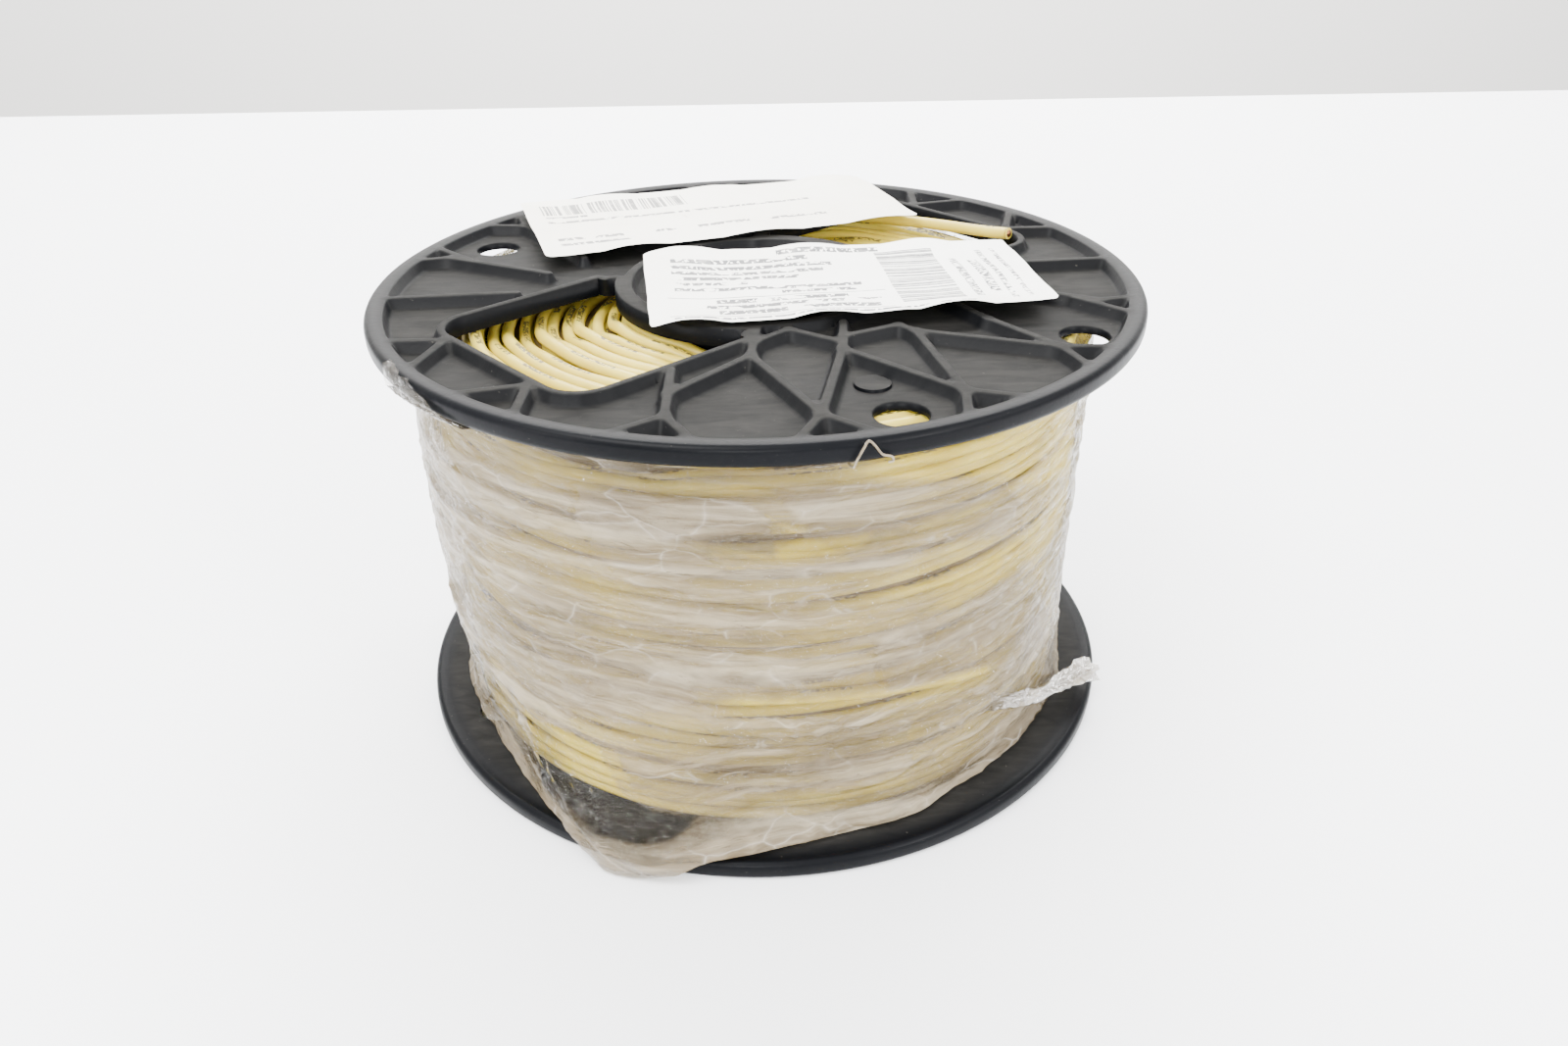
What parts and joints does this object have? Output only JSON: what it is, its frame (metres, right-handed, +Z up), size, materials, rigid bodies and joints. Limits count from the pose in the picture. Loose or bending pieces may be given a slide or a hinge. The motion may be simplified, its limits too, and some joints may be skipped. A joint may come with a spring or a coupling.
{
  "type": "coil of electrical wire on a reel",
  "caption": "Moulded black reel standing on its flange, wound with yellow jacketed building wire, wrapped in clear stretch film, with paper labels on top",
  "frame": {"origin": "centre of the underside of the lower flange, where the reel stands on the floor", "axes": "+Z up along the reel's axis, -Y towards the picture's camera, +X to its right"},
  "size_m": [0.2032, 0.2032, 0.1211],
  "materials": {
    "reel_plastic": "dusty black moulded polystyrene, satin on the rim",
    "wire_jacket": "yellow PVC under a clear nylon jacket",
    "stretch_film": "clear wrinkled polyethylene stretch film in several layers",
    "label_paper": "white coated label paper, creased and stained",
    "stock_label_paper": "cream thermal label paper"
  },
  "bodies": {
    "root": {"reel_upper_flange": "reel_plastic", "reel_lower_flange": "reel_plastic", "reel_barrel": "reel_plastic", "wire_winding": "wire_jacket", "wire_outer_end": "wire_jacket", "wire_inner_end": "wire_jacket", "stretch_wrap": "stretch_film", "product_label": "label_paper", "stock_label": "stock_label_paper"}
  },
  "joints": []
}
